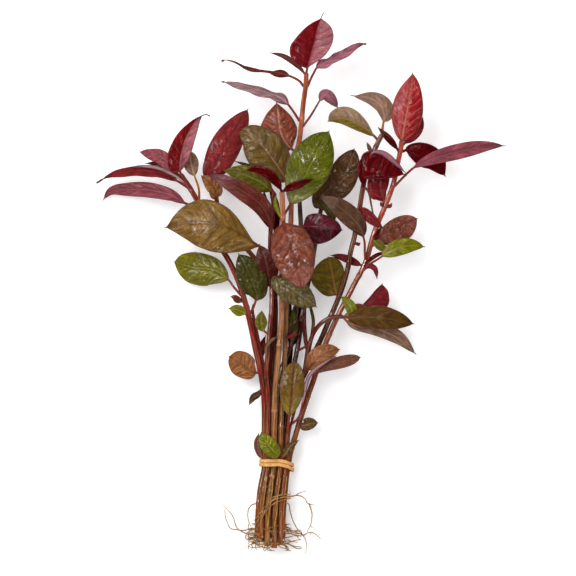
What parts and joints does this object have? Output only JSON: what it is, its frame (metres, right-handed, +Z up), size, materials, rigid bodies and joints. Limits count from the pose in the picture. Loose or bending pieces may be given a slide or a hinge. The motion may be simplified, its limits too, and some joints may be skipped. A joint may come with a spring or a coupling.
{
  "type": "bunch of aquatic plant stems",
  "caption": "Bunch of red and green leafy water-plant stems, tied with a rubber band near the rooted base and lying flat.",
  "frame": {"origin": "centre of the bounding box at the level of the surface the bunch lies on", "axes": "+Y along the bunch, from the roots to the shoot tips; +X to the right of it seen from above; +Z up from the surface"},
  "size_m": [0.1866, 0.2454, 0.0348],
  "materials": {
    "leaf_crimson": "glossy waxy crimson upper side, matt grey-mauve underside",
    "leaf_maroon": "glossy dark maroon upper side, mauve underside",
    "leaf_mauve": "satin mauve-pink",
    "leaf_red_brown": "glossy wrinkled red-brown",
    "leaf_brown": "glossy dark bronze",
    "leaf_olive": "glossy olive with red-brown veins",
    "leaf_green": "glossy yellow-green",
    "stem_maroon": "glossy maroon",
    "stem_orange": "glossy orange-brown with pink nodes",
    "stem_tan": "satin tan",
    "stem_brown": "glossy brown",
    "root": "matt tan, thread-like",
    "rubber_ochre": "satin ochre rubber"
  },
  "bodies": {
    "root": {"leaf_top_large": "leaf_crimson", "leaf_crimson_left": "leaf_crimson", "leaf_left_folded": "leaf_crimson", "leaf_left_long": "leaf_crimson", "leaf_dark_left": "leaf_crimson", "leaf_dark_right": "leaf_crimson", "leaf_red_tall": "leaf_crimson", "leaf_crimson_right": "leaf_crimson", "leaf_crimson_middle": "leaf_crimson", "leaf_purple": "leaf_crimson", "leaf_crimson_low": "leaf_crimson", "leaf_top_left": "leaf_maroon", "leaf_maroon_right": "leaf_maroon", "leaf_hood": "leaf_maroon", "leaf_top_right": "leaf_mauve", "leaf_upper_left": "leaf_mauve", "leaf_upper_right": "leaf_mauve", "leaf_left_rose": "leaf_mauve", "leaf_left_lower": "leaf_mauve", "leaf_mauve_long": "leaf_mauve", "leaf_pink_long": "leaf_mauve", "leaf_brown_back": "leaf_red_brown", "leaf_brown_front": "leaf_red_brown", "leaf_redbrown_right": "leaf_red_brown", "leaf_orange_left": "leaf_red_brown", "leaf_orange_right": "leaf_red_brown", "leaf_mauve_right": "leaf_red_brown", "leaf_bronze": "leaf_brown", "leaf_brown_long": "leaf_brown", "leaf_olive_back": "leaf_olive", "leaf_left_round": "leaf_olive", "leaf_olive_large": "leaf_olive", "leaf_grey_right": "leaf_olive", "leaf_olive_right": "leaf_olive", "leaf_olive_low": "leaf_olive", "leaf_low_under": "leaf_olive", "leaf_olive_front": "leaf_olive", "leaf_green": "leaf_green", "leaf_green_back": "leaf_green", "leaf_yellow_green": "leaf_green", "leaf_green_middle": "leaf_green", "leaf_pale_middle": "leaf_green", "leaf_green_left": "leaf_green", "leaf_green_far": "leaf_green", "leaf_green_band": "leaf_green", "stem_left": "stem_maroon", "stem_inner_left": "stem_maroon", "stem_inner_right": "stem_maroon", "stem_low_right": "stem_maroon", "stem_left_back": "stem_orange", "stem_top": "stem_orange", "stem_right_tall": "stem_orange", "stem_front": "stem_tan", "stem_middle_right": "stem_brown", "stem_right": "stem_brown", "root_left": "root", "root_right": "root", "root_upper": "root", "root_mat": "root", "rubber_band": "rubber_ochre"}
  },
  "joints": []
}
